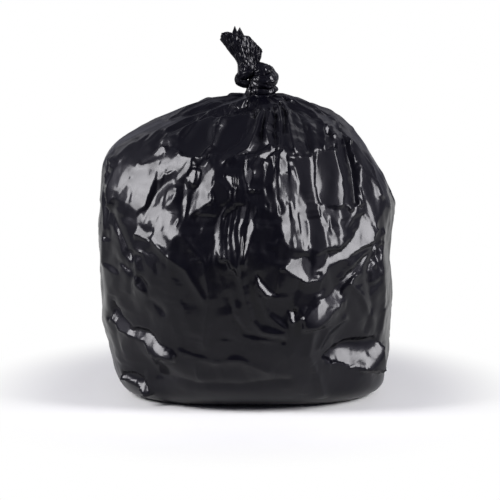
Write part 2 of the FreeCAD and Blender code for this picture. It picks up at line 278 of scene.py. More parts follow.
# Facets of the front that catch a lamp, by their corners in the photograph's 500 by 500
# frame: l faces the left lamp and r the right one.
FACETS = (
    ("l", (114, 168), (126, 163), (134, 165), (130, 175), (121, 185), (115, 200), (111, 209),
     (110, 190)),
    ("l", (136, 163), (158, 160), (157, 167), (153, 178), (152, 190), (146, 208), (139, 211),
     (131, 209), (133, 195), (128, 184), (131, 172)),
    ("l", (139, 160), (152, 151), (165, 145), (166, 150), (160, 154), (151, 156), (144, 160)),
    ("l", (160, 161), (172, 157), (181, 152), (188, 158), (193, 160), (187, 163), (178, 168),
     (165, 173), (156, 182), (155, 172), (158, 166)),
    ("l", (147, 208), (154, 195), (164, 184), (177, 175), (189, 166), (194, 162), (190, 170),
     (182, 177), (172, 183), (162, 193), (155, 203), (150, 209)),
    ("l", (195, 165), (203, 165), (216, 169), (213, 175), (211, 184), (212, 195), (213, 201),
     (203, 207), (194, 212), (189, 217), (188, 208), (190, 199), (193, 190), (199, 181), (200, 172)),
    ("l", (186, 177), (191, 169), (197, 170), (197, 178), (193, 186), (191, 180), (188, 180)),
    ("l", (184, 182), (187, 190), (188, 205), (187, 215), (185, 222), (182, 214), (181, 203),
     (182, 190)),
    ("l", (161, 209), (168, 212), (173, 217), (174, 226), (181, 233), (184, 235), (178, 237),
     (172, 240), (169, 241), (166, 233), (163, 224), (160, 216)),
    ("l", (153, 229), (158, 218), (160, 225), (162, 236), (166, 243), (167, 250), (160, 246),
     (155, 243), (152, 236)),
    ("l", (135, 230), (139, 224), (145, 231), (147, 237), (151, 241), (144, 240), (138, 236),
     (134, 235)),
    ("l", (163, 202), (172, 194), (176, 192), (174, 200), (168, 205)),
    ("l", (150, 209), (156, 205), (162, 206), (158, 214), (155, 222), (152, 228), (149, 221)),
    ("l", (228, 206), (224, 207), (218, 214), (214, 224), (212, 235), (215, 248), (219, 256),
     (221, 262), (222, 255), (221, 240), (220, 228), (222, 215)),
    ("l", (229, 209), (226, 216), (225, 226), (224, 238), (226, 252), (227, 264), (224, 257),
     (222, 240), (223, 225), (225, 213)),
    ("l", (232, 209), (233, 213), (230, 223), (229, 236), (230, 250), (232, 262), (232, 268),
     (229, 262), (227, 250), (226, 236), (228, 221)),
    ("l", (236, 205), (240, 204), (238, 215), (235, 228), (234, 240), (237, 252), (239, 264),
     (239, 277), (235, 268), (234, 255), (232, 245), (231, 235), (233, 222)),
    ("l", (241, 204), (248, 205), (247, 212), (243, 222), (240, 232), (242, 240), (241, 250),
     (238, 240), (237, 230), (239, 218)),
    ("l", (249, 210), (253, 220), (255, 228), (251, 237), (249, 246), (246, 258), (244, 268),
     (242, 260), (243, 250), (246, 235), (248, 222)),
    ("l", (223, 173), (232, 176), (233, 183), (235, 190), (230, 186), (226, 179)),
    ("l", (237, 172), (240, 180), (239, 188), (236, 184)),
    ("l", (243, 167), (249, 172), (250, 178), (246, 184), (244, 177)),
    ("l", (250, 168), (254, 171), (252, 180), (249, 186), (253, 190), (248, 192), (247, 182)),
    ("r", (246, 159), (258, 156), (268, 152), (275, 148), (276, 151), (270, 155), (265, 160),
     (262, 158), (256, 157), (248, 161)),
    ("r", (264, 160), (269, 163), (268, 172), (266, 178), (264, 184), (263, 179), (265, 171),
     (262, 165)),
    ("r", (276, 152), (277, 165), (277, 182), (278, 201), (275, 201), (274, 187), (273, 178),
     (275, 166)),
    ("r", (281, 147), (285, 152), (288, 162), (290, 170), (290, 180), (289, 188), (291, 195),
     (291, 200), (283, 201), (280, 200), (279, 180), (279, 165), (279, 153)),
    ("r", (285, 203), (291, 203), (291, 220), (291, 235), (289, 250), (285, 242), (281, 233),
     (280, 225), (283, 217), (286, 210)),
    ("r", (292, 168), (296, 173), (299, 182), (300, 196), (299, 214), (297, 228), (295, 234),
     (296, 215), (296, 200), (294, 188), (291, 178)),
    ("r", (301, 190), (304, 198), (306, 208), (310, 220), (311, 232), (310, 245), (308, 253),
     (304, 250), (303, 238), (301, 225), (300, 212)),
    ("r", (310, 154), (313, 156), (316, 175), (319, 195), (321, 206), (318, 203), (314, 185),
     (311, 165)),
    ("r", (320, 206), (333, 208), (335, 210), (331, 212), (329, 220), (328, 229), (325, 226),
     (322, 215)),
    ("r", (344, 227), (349, 219), (358, 203), (359, 208), (352, 220), (346, 229)),
    ("r", (338, 229), (333, 236), (329, 246), (332, 247), (338, 237), (341, 229)),
    ("r", (364, 213), (368, 220), (372, 228), (374, 236), (372, 242), (362, 248), (350, 256),
     (342, 261), (333, 262), (329, 260), (338, 253), (346, 246), (354, 237), (360, 226)),
    ("r", (362, 183), (368, 197), (373, 213), (377, 231), (375, 232), (371, 218), (366, 200),
     (361, 186)),
    ("r", (326, 125), (329, 130), (329, 134), (326, 132), (325, 128)),
    ("r", (330, 136), (335, 135), (336, 148), (334, 147), (334, 139)),
    ("l", (112, 302), (116, 308), (121, 317), (128, 323), (130, 330), (140, 328), (147, 330),
     (155, 337), (160, 344), (168, 351), (173, 355), (175, 359), (165, 358), (157, 356), (149, 347),
     (143, 340), (137, 339), (129, 336), (120, 331), (115, 323), (112, 320), (111, 310)),
    ("l", (123, 374), (133, 374), (143, 378), (147, 385), (152, 393), (158, 400), (153, 399),
     (146, 393), (140, 388), (135, 384), (128, 381), (122, 377)),
    ("l", (134, 250), (142, 250), (146, 252), (150, 256), (144, 254), (138, 253)),
    ("r", (281, 269), (290, 262), (300, 257), (308, 255), (313, 264), (311, 272), (309, 284),
     (302, 282), (296, 277), (288, 272)),
    ("r", (257, 273), (261, 280), (267, 288), (272, 293), (278, 294), (270, 297), (264, 296),
     (258, 288), (256, 280)),
    ("r", (288, 310), (297, 311), (296, 320), (294, 324), (290, 323), (289, 316)),
    ("r", (372, 251), (369, 258), (365, 268), (362, 273), (356, 277), (350, 282), (345, 287),
     (343, 292), (341, 303), (340, 306), (333, 311), (326, 319), (318, 326), (312, 329), (304, 330),
     (310, 325), (303, 323), (301, 320), (308, 313), (316, 306), (324, 299), (332, 294), (336, 288),
     (342, 280), (350, 272), (358, 264), (366, 256)),
    ("r", (301, 314), (308, 305), (316, 295), (321, 290), (324, 291), (318, 295), (310, 305),
     (303, 315)),
    ("r", (329, 252), (327, 260), (322, 272), (317, 282), (320, 282), (326, 272), (331, 258)),
    ("r", (323, 357), (332, 349), (342, 342), (350, 340), (362, 340), (372, 340), (376, 337),
     (382, 346), (380, 358), (381, 372), (370, 370), (360, 369), (348, 365), (337, 360)),
)

# The film's unrest: cells of three sizes, each with its width in metres, how flat it lies
# and how far it leans. The front is calmer than the rest, and the belly smoother. A band
# is where a change starts and how far it takes, by height or by how much the film turns
# to the camera.
SLACK_SEED = 11
FILM_AREA = 1.0
CELL_SQUEEZE = 0.6
LARGE_CELL, SMALL_CELL, TINY_CELL = (0.085, 0.45, 0.17), (0.034, 0.3, 0.2), (0.015, 0.2, 0.1)
SEEN_FROM = 0.12
FRONT_BAND = -0.4, 0.45
SETTLED_BAND, BELLY_BAND = (0.012, 0.05), (0.17, 0.12)
SHOULDER_TURNS, SHOULDER_PASSES, SHOULDER_BAND = (-0.15, 0.2), (0.3, 0.3), (0.34, 0.05)
FRONT_CALM, SHOULDER_CALM, UNSEEN_FOLDS = 0.58, 0.5, 1.5
SMOOTH_BELLY = 0.6

dice = np.random.default_rng(SLACK_SEED)


def film_cells(spacing, flatness, tilt):
    """The film breaks into cells longer than they are wide; each leans its own way."""
    points = smooth_film.reshape(-1, 3)
    outs = OUT.reshape(-1, 3)
    count = int(FILM_AREA / spacing ** 2)
    picks = dice.choice(len(points), count, replace=False)
    squeezed = points * np.array((1.0, 1.0, CELL_SQUEEZE))
    tree = KDTree(count)
    for k, pick in enumerate(picks):
        tree.insert(squeezed[pick], k)
    tree.balance()
    nearest = np.array([tree.find(point)[1] for point in squeezed])
    lean = dice.normal(0, tilt, (count, 2))
    flat = unit(flatness * outs[picks][nearest] + (1 - flatness) * outs)
    leaning = flat + lean[nearest][:, :1] * AROUND.reshape(-1, 3) \
        + lean[nearest][:, 1:] * UP.reshape(-1, 3)
    return unit(leaning).reshape(smooth_film.shape)


large = film_cells(*LARGE_CELL)
small = film_cells(*SMALL_CELL)
tiny = film_cells(*TINY_CELL)
photo_place = on_photo(smooth_film)
to_eye = OUT @ VIEW_BACK
seen = to_eye > SEEN_FROM
shoulder = ramp(to_eye, *SHOULDER_TURNS) * (1 - ramp(to_eye, *SHOULDER_PASSES)) \
    * ramp(height, *SHOULDER_BAND)
settled = ramp(height, *SETTLED_BAND)
belly = seen * (1 - ramp(height, *BELLY_BAND))
fine_folds = settled - settled * SMOOTH_BELLY * np.maximum(belly, shoulder)
front_folds = (1 - FRONT_CALM) * (1 - SHOULDER_CALM * shoulder)
folds = settled * (UNSEEN_FOLDS + ramp(to_eye, *FRONT_BAND) * (front_folds - UNSEEN_FOLDS))
wanted = unit(OUT + folds[..., None] * ((large - OUT) + (small - OUT))
              + fine_folds[..., None] * (tiny - OUT))

# Pleats from the neck, each with a long and a short side, and fainter where they are seen.
NECK_PLEATS = 26
PLEAT_REACH = 0.09, 0.24
PLEAT_TILT, PLEAT_TILTS = 0.5, (0.5, 1.0)
PLEAT_DRIFT = 0.35
PLEAT_START = 0.03
LEAST_CREST, CREST_SPREAD = 0.35, 0.3
PLEATS_SEEN, PLEATS_UNSEEN = 0.7, 1.0

edges = np.sort(dice.uniform(0, 2 * np.pi, NECK_PLEATS))
reach = dice.uniform(*PLEAT_REACH, NECK_PLEATS)
slope = dice.uniform(*PLEAT_TILTS, NECK_PLEATS) * PLEAT_TILT
drift = dice.normal(0, PLEAT_DRIFT, NECK_PLEATS)
pleat_lean = np.zeros_like(height)
for k in range(NECK_PLEATS):
    start, end = edges[k], edges[(k + 1) % NECK_PLEATS]
    width = (end - start) % (2 * np.pi)
    turned = (turns[None] - start - drift[k] * from_neck) % (2 * np.pi)
    inside = turned < width
    crest = LEAST_CREST + CREST_SPREAD * ((k * 7) % 5) / 4
    side = np.where(turned < crest * width, -1 / crest, 1 / (1 - crest)) / 2
    fade = 1 - ramp(from_neck, PLEAT_START, reach[k])
    pleat_lean += inside * side * slope[k] * fade
pleat_share = np.where(seen, PLEATS_SEEN, PLEATS_UNSEEN)[..., None]
wanted = unit(wanted + pleat_lean[..., None] * AROUND * pleat_share)


def inside_facet(place, corners):
    """Which points of the photograph's frame lie within a facet's corners."""
    x, y = place[..., 0], place[..., 1]
    within = np.zeros(x.shape, bool)
    for (xa, ya), (xb, yb) in zip(corners, corners[1:] + corners[:1]):
        if ya == yb:
            continue
        spans = (ya > y) != (yb > y)
        within ^= spans & (x < (xb - xa) * (y - ya) / (yb - ya) + xa)
    return within


# The front's own creases, as lines in the photograph's frame: how wide each is, how much
# its sides lean away (a valley's lean in) and the points of the line.
CREASES = (
    (7, 0.45, (194, 102), (160, 117), (130, 130), (114, 144)),
    (6, -0.4, (240, 96), (220, 103), (190, 111), (162, 121)),
    (7, 0.4, (247, 101), (220, 108), (187, 118), (167, 131)),
    (6, -0.35, (250, 106), (222, 114), (200, 124), (184, 138)),
    (8, 0.5, (255, 112), (240, 116), (225, 121), (217, 128), (212, 142), (207, 147), (192, 161)),
    (7, -0.4, (259, 112), (252, 127), (240, 140), (222, 152)),
    (8, 0.5, (262, 112), (257, 128), (248, 146), (225, 161)),
    (6, -0.5, (266, 110), (262, 124), (262, 140), (256, 152)),
    (6, 0.5, (270, 112), (265, 130), (271, 146)),
    (6, -0.5, (274, 106), (275, 124), (276, 142)),
    (6, 0.5, (277, 105), (281, 120), (280, 147)),
    (5, -0.45, (280, 103), (284, 114), (285, 132)),
    (6, 0.5, (281, 101), (288, 111), (289, 130), (294, 150)),
    (6, -0.4, (284, 99), (298, 112), (306, 130), (310, 150)),
    (7, 0.45, (286, 98), (310, 109), (322, 124), (324, 146)),
    (7, 0.45, (284, 97), (305, 102), (337, 111), (352, 128)),
    (6, -0.4, (287, 99), (306, 106), (328, 114), (338, 128)),
    (9, -0.6, (340, 126), (348, 144), (354, 168), (357, 204)),
    (7, 0.4, (352, 128), (364, 146), (372, 166), (380, 196)),
    (7, 0.35, (108, 158), (104, 190), (106, 230), (103, 262)),
    (6, -0.3, (114, 212), (122, 236), (132, 262), (130, 292)),
    (8, 0.35, (150, 238), (166, 256), (186, 270), (204, 300)),
    (8, -0.3, (120, 262), (142, 282), (150, 300), (164, 312)),
    (9, 0.3, (182, 236), (204, 262), (210, 300), (204, 344)),
    (8, 0.35, (241, 278), (246, 300), (252, 322), (262, 332), (284, 334)),
    (7, -0.35, (228, 296), (233, 318), (244, 334), (284, 341)),
    (8, 0.35, (262, 298), (268, 316), (284, 328)),
    (9, 0.3, (180, 352), (214, 362), (240, 360), (268, 372)),
    (8, -0.3, (160, 374), (196, 384), (240, 386), (290, 380)),
    (9, 0.35, (312, 334), (308, 356), (318, 376), (322, 394)),
    (7, 0.35, (384, 232), (380, 260), (384, 300), (382, 330)),
    (7, -0.35, (376, 244), (370, 272), (374, 306), (366, 330)),
    (7, 0.35, (352, 284), (362, 296), (372, 318)),
    (7, 0.4, (345, 318), (326, 330), (318, 348)),
    (8, 0.3, (134, 262), (136, 284), (148, 296)),
)

# Broad plain facets of the front: the turn and rise in degrees of what they mirror, and
# their corners in the photograph's frame.
PLAIN_FACETS = (
    ((34, 34), (293, 160), (309, 156), (313, 176), (319, 206), (322, 226), (327, 246), (318, 254),
     (312, 248), (311, 226), (305, 200), (299, 178)),
    ((36, 40), (317, 152), (333, 148), (338, 170), (342, 196), (340, 208), (336, 208), (322, 204),
     (318, 182)),
    ((100, 26), (338, 138), (350, 142), (358, 170), (359, 200), (351, 212), (344, 200), (340, 168)),
    ((30, 60), (262, 112), (274, 118), (272, 142), (258, 150), (234, 156), (246, 136)),
    ((-36, 62), (196, 124), (214, 120), (211, 142), (196, 156), (176, 148), (180, 134)),
    ((-20, 78), (222, 122), (250, 116), (240, 138), (218, 152), (214, 142)),
    ((-32, 12), (212, 178), (228, 190), (230, 200), (214, 206), (206, 214), (198, 216), (212, 200)),
)

# How strongly the film keeps the way that it is given: firm in a facet, less so in a plain
# one, and loose elsewhere. Facets keep a share of the small cells as their own creases.
FIRM, PLAIN_HOLD, LOOSE = 2.0, 0.5, 0.12
FACET_CREASING, PLAIN_CREASING = 0.28, 0.15
SQUARELY_BAND, BARELY_SEEN = (0.2, 0.25), 0.02
CREASE_GAIN, LEAST_CREASE = 2.0, 0.35
NEAR_LINE = 0.3

hold = np.full(height.shape, LOOSE)
for (turn, rise), *corners in PLAIN_FACETS:
    within = inside_facet(photo_place, tuple(corners)) & seen
    mirrored_turn = np.full(height.shape, math.radians(turn))
    mirrored_rise = np.full(height.shape, math.radians(rise))
    plain = facing_for(mirrored_turn, mirrored_rise)
    wanted[within] = unit(plain + PLAIN_CREASING * (tiny - OUT))[within]
    hold[within] = PLAIN_HOLD

squarely_seen = ramp(to_eye, *SQUARELY_BAND)[..., None]
line_lean = np.zeros_like(smooth_film)
for width, lean, *corners in CREASES:
    best = np.full(height.shape, float(width))
    own = np.zeros_like(smooth_film)
    for start, end in zip(np.array(corners[:-1], float), np.array(corners[1:], float)):
        run = end - start
        away = photo_place - start
        share = np.clip((away @ run) / (run @ run), 0, 1)
        off = away - share[..., None] * run
        gap = np.linalg.norm(off, axis=-1)
        nearer = (gap < best) & seen
        side = off / np.maximum(gap, NEAR_LINE)[..., None]
        spread_out = side[..., :1] * VIEW_RIGHT - side[..., 1:] * VIEW_UP
        own[nearer] = (lean * (1 - gap / width)[..., None] * spread_out)[nearer]
        best = np.where(nearer, gap, best)
    line_lean += own
crease_share = LEAST_CREASE + (1 - LEAST_CREASE) * squarely_seen
wanted = unit(wanted + CREASE_GAIN * crease_share * line_lean)

wanted = unit(wanted + squarely_seen * (shy_of_lamps(wanted) - wanted))
for lamp, *corners in FACETS:
    within = inside_facet(photo_place, tuple(corners)) & (squarely_seen[..., 0] > BARELY_SEEN)
    creased = glint(lamp, OUT) + FACET_CREASING * ((tiny - OUT) + (small - OUT))
    wanted[within] = unit(creased)[within]
    hold[within] = FIRM

# The push of each point, which is solved for in rounds. Anchors keep the film near the
# plain solid: most of all at the foot and the neck, and along the outline that is seen.
ANCHOR, HOLD_REACH = 0.06, 0.055
HELD_FAST = 1e3
FOOT_HOLD, FOOT_BAND = 30, 0.02
EDGE_HOLD, EDGE_BAND = 8, 0.18
MISS_SEEN, MISS_UNSEEN = 0.07, 0.2
STEEP_SEEN, STEEP_UNSEEN, STEEP_ROUNDS = 2.2, 1.0, 12
MOST_PUSH = 0.012
LEAST_LEAN = 0.35
SHORTEST = 0.0002
SOLVE_STEPS, RELIEF_ROUNDS = 180, 7

step_lengths = np.linalg.norm(np.roll(smooth_film, -1, 1) - smooth_film, axis=-1)
widths = np.maximum(step_lengths, SHORTEST)
heights = np.maximum(np.linalg.norm(smooth_film[1:] - smooth_film[:-1], axis=-1), SHORTEST)
steepest = np.where(seen, STEEP_SEEN, STEEP_UNSEEN)
allowed = np.where(seen, MISS_SEEN, MISS_UNSEEN)


def relief(wanted, hold, push, trust):
    """How far out each point moves so that the film faces the wanted way. Where it can't,
    the next round trusts the step between two points less, which makes a sharp crease."""
    film = smooth_film + push[..., None] * OUT
    step_around = np.roll(film, -1, 1) - film
    step_up = film[1:] - film[:-1]
    lean_around = unit(wanted + np.roll(wanted, -1, 1))
    lean_up = unit(wanted[1:] + wanted[:-1])
    out_around = unit(OUT + np.roll(OUT, -1, 1))
    out_up = unit(OUT[1:] + OUT[:-1])
    gain_around = np.roll(push, -1, 1) - push - (step_around * lean_around).sum(-1) \
        / np.maximum((out_around * lean_around).sum(-1), LEAST_LEAN)
    gain_up = push[1:] - push[:-1] - (step_up * lean_up).sum(-1) \
        / np.maximum((out_up * lean_up).sum(-1), LEAST_LEAN)
    cell_heights = np.vstack([heights, heights[-1:]])
    both_wide = (widths[1:] + widths[:-1]) / 2
    weight_around = np.minimum(hold, np.roll(hold, -1, 1)) * cell_heights / widths * trust[0]
    weight_up = np.minimum(hold[1:], hold[:-1]) * both_wide / heights * trust[1]
    anchor = widths * cell_heights / HOLD_REACH ** 2 * ANCHOR
    anchor[:FOOT_ROWS + 2] = HELD_FAST
    anchor[-2:] = HELD_FAST
    anchor += FOOT_HOLD * (1 - ramp(height, 0, FOOT_BAND))
    anchor *= 1 + EDGE_HOLD * (1 - ramp(np.abs(to_eye), 0, EDGE_BAND))

    def spread(across, along, total):
        total = total - across + np.roll(across, 1, 1)
        total[:-1] -= along
        total[1:] += along
        return total

    def pull(h):
        across = weight_around * (np.roll(h, -1, 1) - h)
        return spread(across, weight_up * (h[1:] - h[:-1]), anchor * h)

    goal = spread(weight_around * gain_around, weight_up * gain_up, np.zeros_like(height))
    scale = anchor + weight_around + np.roll(weight_around, 1, 1)
    scale[:-1] += weight_up
    scale[1:] += weight_up
    h = push.copy()
    left = goal - pull(h)
    ahead = left / scale
    step = ahead.copy()
    score = (left * ahead).sum()
    for _ in range(SOLVE_STEPS):
        moved = pull(step)
        size = score / (step * moved).sum()
        h += size * step
        left -= size * moved
        ahead = left / scale
        new_score = (left * ahead).sum()
        step = ahead + new_score / score * step
        score = new_score
    miss_around = (np.roll(h, -1, 1) - h - gain_around) / widths
    miss_up = (h[1:] - h[:-1] - gain_up) / heights
    trust_around = 1 / (1 + (miss_around / allowed) ** 2)
    trust_up = 1 / (1 + (miss_up / allowed[1:]) ** 2)
    return h, (trust_around, trust_up)


def no_steeper(push):
    """The folds' sides lean no more than they may, so that no spike or slit is left."""
    beside, below = steepest * widths, steepest[1:] * heights
    no_limit = np.full((1, COLUMNS), 1.0)
    for _ in range(STEEP_ROUNDS):
        left, right = np.roll(push, 1, 1), np.roll(push, -1, 1)
        gap_left = np.roll(beside, 1, 1)
        high = np.minimum(left + gap_left, right + beside)
        low = np.maximum(left - gap_left, right - beside)
        high_below = np.vstack([no_limit, push[:-1] + below])
        high_above = np.vstack([push[1:] + below, no_limit])
        low_below = np.vstack([-no_limit, push[:-1] - below])
        low_above = np.vstack([push[1:] - below, -no_limit])
        high = np.minimum(high, np.minimum(high_below, high_above))
        low = np.maximum(low, np.maximum(low_below, low_above))
        push = np.minimum(np.maximum(push, low), high)
    return push


push = np.zeros_like(height)
trust = (np.ones_like(height), np.ones_like(height[1:]))
for _ in range(RELIEF_ROUNDS):
    push, trust = relief(wanted, hold, push, trust)
    push = no_steeper(MOST_PUSH * np.tanh(push / MOST_PUSH))
above_it = np.vstack([push[1:], push[-1:]])
below_it = np.vstack([push[:1], push[:-1]])
around_it = (np.roll(push, 1, 1) + np.roll(push, -1, 1) + below_it + above_it) / 4
push = np.where(hold < FIRM, (push + around_it) / 2, push)
film = smooth_film + push[..., None] * OUT
film[..., 2] = np.maximum(film[..., 2], 0)


def ring_mesh(name, grid, close_start=False, close_end=False):
    """A mesh from rings of points, with a closed pole where it is asked for."""
    rows, columns = grid.shape[:2]
    points = [tuple(p) for p in grid.reshape(-1, 3)]
    faces = []
    for j in range(rows - 1):
        low, high = j * columns, (j + 1) * columns
        for i in range(columns):
            n = (i + 1) % columns
            faces.append((low + i, low + n, high + n, high + i))
    if close_start:
        points.append(tuple(grid[0].mean(0)))
        faces += [(len(points) - 1, (i + 1) % columns, i) for i in range(columns)]
    if close_end:
        points.append(tuple(grid[-1].mean(0)))
        last = (rows - 1) * columns
        faces += [(last + i, last + (i + 1) % columns, len(points) - 1) for i in range(columns)]
    mesh = bpy.data.meshes.new(name)
    mesh.from_pydata(points, [], faces)
    mesh.validate()
    mesh.polygons.foreach_set("use_smooth", np.ones(len(mesh.polygons), bool))
    piece = bpy.data.objects.new(name, mesh)
    bpy.context.collection.objects.link(piece)
    return piece


sack_film = ring_mesh("sack_film", film[1:], close_start=True)

FILM_BLACK = (0.0011, 0.001, 0.0028, 1)
FILM_SHEEN = (0.9, 0.88, 1.0, 1)
FILM_IOR = 1.5
HAZE_ROUGHNESS, HAZE_SPECULAR = 0.42, 0.1
GLOSS_WEIGHT, GLOSS_ROUGHNESS = 0.27, (0.07, 0.15)
FILM_STRETCH = 1, 1, 0.5
WRINKLE_SCALE, WRINKLE_DETAIL = 38, 3
BUMP_STRENGTH, BUMP_HEIGHT = 0.25, 0.0015
SCUFF_SCALE, SCUFF_DETAIL, SCUFF_RANGE = 90, 4, (0.35, 0.65)

black_film = bpy.data.materials.new("black_film")
black_film.use_nodes = True
nodes, links = black_film.node_tree.nodes, black_film.node_tree.links
shader = nodes["Principled BSDF"]
shader.inputs["Base Color"].default_value = FILM_BLACK
shader.inputs["IOR"].default_value = FILM_IOR
shader.inputs["Specular IOR Level"].default_value = HAZE_SPECULAR
shader.inputs["Specular Tint"].default_value = FILM_SHEEN
shader.inputs["Roughness"].default_value = HAZE_ROUGHNESS
shader.inputs["Coat Weight"].default_value = GLOSS_WEIGHT
shader.inputs["Coat IOR"].default_value = FILM_IOR
place = nodes.new("ShaderNodeTexCoord")
stretch = nodes.new("ShaderNodeMapping")
stretch.inputs["Scale"].default_value = FILM_STRETCH
links.new(place.outputs["Object"], stretch.inputs["Vector"])
wrinkle = nodes.new("ShaderNodeTexNoise")
wrinkle.inputs["Scale"].default_value = WRINKLE_SCALE
wrinkle.inputs["Detail"].default_value = WRINKLE_DETAIL
links.new(stretch.outputs["Vector"], wrinkle.inputs["Vector"])
bump = nodes.new("ShaderNodeBump")
bump.inputs["Strength"].default_value = BUMP_STRENGTH
bump.inputs["Distance"].default_value = BUMP_HEIGHT
links.new(wrinkle.outputs["Fac"], bump.inputs["Height"])
links.new(bump.outputs["Normal"], shader.inputs["Normal"])
links.new(bump.outputs["Normal"], shader.inputs["Coat Normal"])
scuffs = nodes.new("ShaderNodeTexNoise")
scuffs.inputs["Scale"].default_value = SCUFF_SCALE
scuffs.inputs["Detail"].default_value = SCUFF_DETAIL
links.new(stretch.outputs["Vector"], scuffs.inputs["Vector"])
worn = nodes.new("ShaderNodeMapRange")
links.new(scuffs.outputs["Fac"], worn.inputs["Value"])
worn.inputs["From Min"].default_value, worn.inputs["From Max"].default_value = SCUFF_RANGE
worn.inputs["To Min"].default_value, worn.inputs["To Max"].default_value = GLOSS_ROUGHNESS
links.new(worn.outputs["Result"], shader.inputs["Coat Roughness"])
sack_film.data.materials.append(black_film)
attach(sack_film, "root")
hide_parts(NODE)

# The knot: the sack's own neck, gathered like a rope and tied once round itself. A fat
# roll bulges on the right, a flatter one turns back on the left, and tight turns hold them
# below. Everything is the same film, pulled into pleats and crumpled.

# Crumples are given by the size of their facets in millimetres and by how deep they go.
NECK_MM = NECK * 1000
KNOT_SEED = 5
KNOT_AROUND, KNOT_ALONG = 110, 110
CRUMPLE_WAVES, CRUMPLE_SIZES = 9, (0.7, 1.6)
PLEAT_SHIFT, PLEAT_SWINGS, PLEAT_HEIGHTS, PLEAT_WIDTH = 0.4, (0.3, 1.2), (0.4, 1.0), 1.7
STRAND_WANDER = 0.5
STRAND_START = 0.3, 0.9, 0.2
END_SHARPNESS, LEAST_END = 8, 0.05
STRAND_CRUMPLES = (13, 2.4), (5, 0.9)


def smooth_path(stations, count):
    """A smooth curve through rows of numbers."""
    rows = np.array(stations, float)
    rows = np.vstack([2 * rows[0] - rows[1], rows, 2 * rows[-1] - rows[-2]])
    t = np.linspace(0, len(rows) - 3, count)
    k = np.minimum(t.astype(int), len(rows) - 4)
    u = (t - k)[:, None]
    a, b, c, d = rows[k], rows[k + 1], rows[k + 2], rows[k + 3]
    bend = 2 * a - 5 * b + 4 * c - d + u * (3 * (b - c) + d - a)
    return b + 0.5 * u * (c - a + u * bend)


def crumple(points, size, rolls):
    """Flat little facets between sharp creases, about 0 to 1, for points in millimetres."""
    total = np.zeros(points.shape[:-1])
    for _ in range(CRUMPLE_WAVES):
        way = unit(rolls.normal(0, 1, 3)) / (size * rolls.uniform(*CRUMPLE_SIZES))
        wave = points @ way + rolls.uniform()
        total += 2 * np.abs(wave % 1 - 0.5)
    return total / CRUMPLE_WAVES


def pleats_around(angle, along, count, wander, rolls):
    """Sharp pleats that run along a strand, 0 to 1."""
    shifts = rolls.uniform(-PLEAT_SHIFT, PLEAT_SHIFT, count)
    edges = 2 * np.pi * (np.arange(count) + shifts) / count
    tops = np.zeros(np.broadcast(angle, along).shape)
    for edge in edges:
        swings = along * rolls.uniform(*PLEAT_SWINGS) + rolls.uniform()
        swing = wander * np.sin(2 * np.pi * swings)
        gap = np.abs((angle - edge - swing + np.pi) % (2 * np.pi) - np.pi)
        fall = gap * count / (PLEAT_WIDTH * np.pi)
        tops = np.maximum(tops, rolls.uniform(*PLEAT_HEIGHTS) * (1 - fall))
    return tops


def pleated_strand(stations, pleats, depth, seed):
    """Gathered film along a path: stations are x, y and z from the neck's middle, in
    millimetres, and the radius there."""
    rolls = np.random.default_rng(seed)
    path = smooth_path(stations, KNOT_ALONG)
    centre, radius = path[:, :3], path[:, 3]
    ahead = unit(np.gradient(centre, axis=0))
    side = np.zeros_like(ahead)
    side[0] = unit(np.cross(ahead[0], STRAND_START))
    for k in range(1, len(ahead)):
        side[k] = unit(side[k - 1] - (side[k - 1] @ ahead[k]) * ahead[k])
    other = np.cross(ahead, side)
    angle = 2 * np.pi * np.arange(KNOT_AROUND) / KNOT_AROUND
    along = np.linspace(0, 1, KNOT_ALONG)[:, None]
    tops = pleats_around(angle[None], along, pleats, STRAND_WANDER, rolls)
    ends = np.sqrt(np.clip(1 - (2 * along - 1) ** END_SHARPNESS, LEAST_END, 1))
    way = np.cos(angle)[None, :, None] * side[:, None] \
        + np.sin(angle)[None, :, None] * other[:, None]
    reach = radius[:, None] * ends + depth * (tops - 0.5)
    rings = centre[:, None] + reach[..., None] * way
    for size, share in STRAND_CRUMPLES:
        rings += (depth * (crumple(rings, size, rolls) - 0.5) * share)[..., None] * way
    return (rings + NECK_MM) / 1000


def joined(name, pieces):
    """One object from several, selected and joined."""
    bpy.ops.object.select_all(action="DESELECT")
    for piece in pieces:
        piece.select_set(True)
    bpy.context.view_layer.objects.active = pieces[0]
    bpy.ops.object.join()
    pieces[0].name = name
    pieces[0].data.name = name
    return pieces[0]


# Each strand: how many pleats it has, how deep they are, and its stations.
STRANDS = {
    "core": (22, 2.2, (0, 0, -10, 27), (0, 0, -2, 23), (1, 0, 8, 21), (3, 1, 22, 20),
             (2, 2, 34, 17), (-12, 1, 43, 13)),
    "bulge": (11, 2.4, (-12, -12, 24, 7), (2, -17, 21, 12), (14, -13, 21, 14),
              (17, -2, 27, 13), (12, 4, 38, 9), (0, 2, 43, 6)),
    "cap": (9, 2.0, (-8, -12, 33, 6), (4, -15, 36, 8), (13, -8, 39, 8), (14, 4, 40, 6)),
    "lobe": (8, 1.6, (-6, -8, 35, 7), (-20, -6, 33, 9), (-30, -2, 26, 9), (-26, -4, 19, 8),
             (-12, -10, 15, 6)),
    "turn": (7, 1.6, (-13, -14, 7, 5), (-1, -20, 6, 6), (13, -18, 6, 6), (22, -6, 8, 7),
             (20, 10, 9, 6)),
    "low_turn": (6, 1.5, (-14, -16, -2, 4), (0, -22, -3, 5), (13, -20, -3, 5), (22, -7, 0, 5)),
    "last_turn": (5, 1.3, (-10, -21, -10, 3), (3, -25, -12, 4), (14, -22, -11, 4)),
    "tuck": (5, 1.3, (-13, -11, 17, 4), (-14, -15, 8, 4), (-13, -18, -4, 3)),
}
strands = []
for number, (name, (pleats, depth, *stations)) in enumerate(STRANDS.items()):
    rings = pleated_strand(stations, pleats, depth, KNOT_SEED + number)
    strands.append(ring_mesh(name, rings, close_start=True, close_end=True))
knot = joined("knot", strands)
knot.data.materials.append(black_film)
